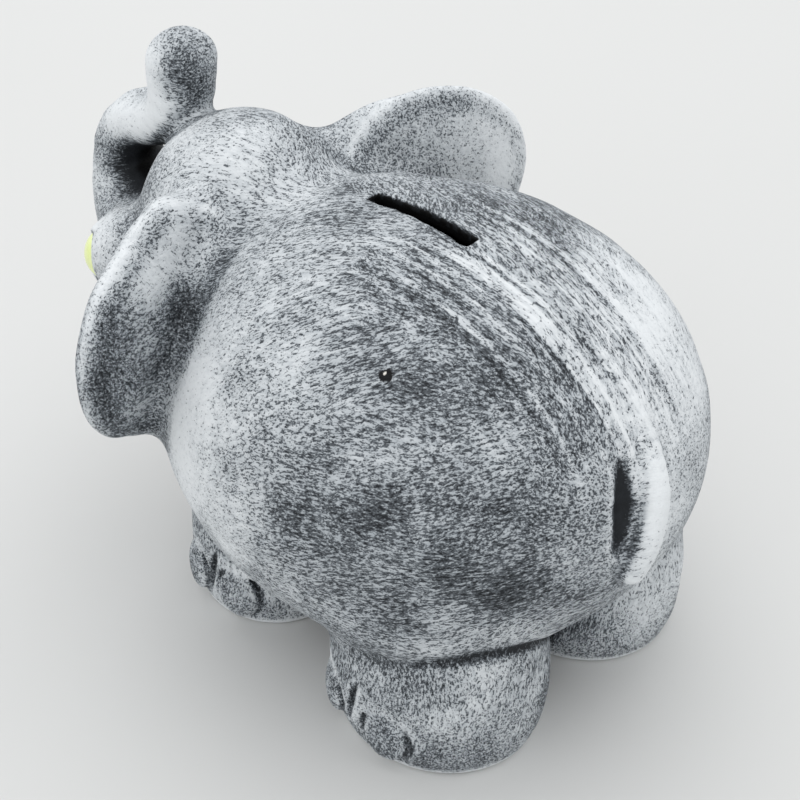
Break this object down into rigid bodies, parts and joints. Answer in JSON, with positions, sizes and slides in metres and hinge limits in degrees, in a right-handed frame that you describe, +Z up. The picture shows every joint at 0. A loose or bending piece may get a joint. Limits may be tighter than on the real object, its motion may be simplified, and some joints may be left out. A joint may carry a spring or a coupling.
{
  "type": "elephant coin bank",
  "caption": "Fat standing elephant money bank in brushed matt ceramic: coin slot in the back, raised looped trunk, big ears, hollow body and a rubber stopper in the belly.",
  "frame": {"origin": "on the floor, at the middle of the footprint of the whole animal's box", "axes": "+Z up, the animal faces -Y, its left side is +X, the middle plane is X = 0"},
  "size_m": [0.1748, 0.2275, 0.162],
  "materials": {
    "brushed_ceramic": "matt, black stain dry-brushed with white and blue-grey",
    "eye_glaze": "gloss paint, pale yellow-green",
    "stopper_rubber": "matt black"
  },
  "bodies": {
    "casting": {"left_body_shell": "brushed_ceramic", "right_body_shell": "brushed_ceramic", "left_ear": "brushed_ceramic", "right_ear": "brushed_ceramic", "trunk": "brushed_ceramic", "lower_lip": "brushed_ceramic", "tail": "brushed_ceramic", "front_left_leg": "brushed_ceramic", "front_right_leg": "brushed_ceramic", "rear_left_leg": "brushed_ceramic", "rear_right_leg": "brushed_ceramic", "left_eye": "eye_glaze", "right_eye": "eye_glaze"},
    "stopper": {"stopper": "stopper_rubber"}
  },
  "joints": [
    {"name": "stopper_pull", "type": "slide", "parent": "casting", "child": "stopper", "axis": [0, 0, -1], "range_m": [0, 0.035]}
  ]
}
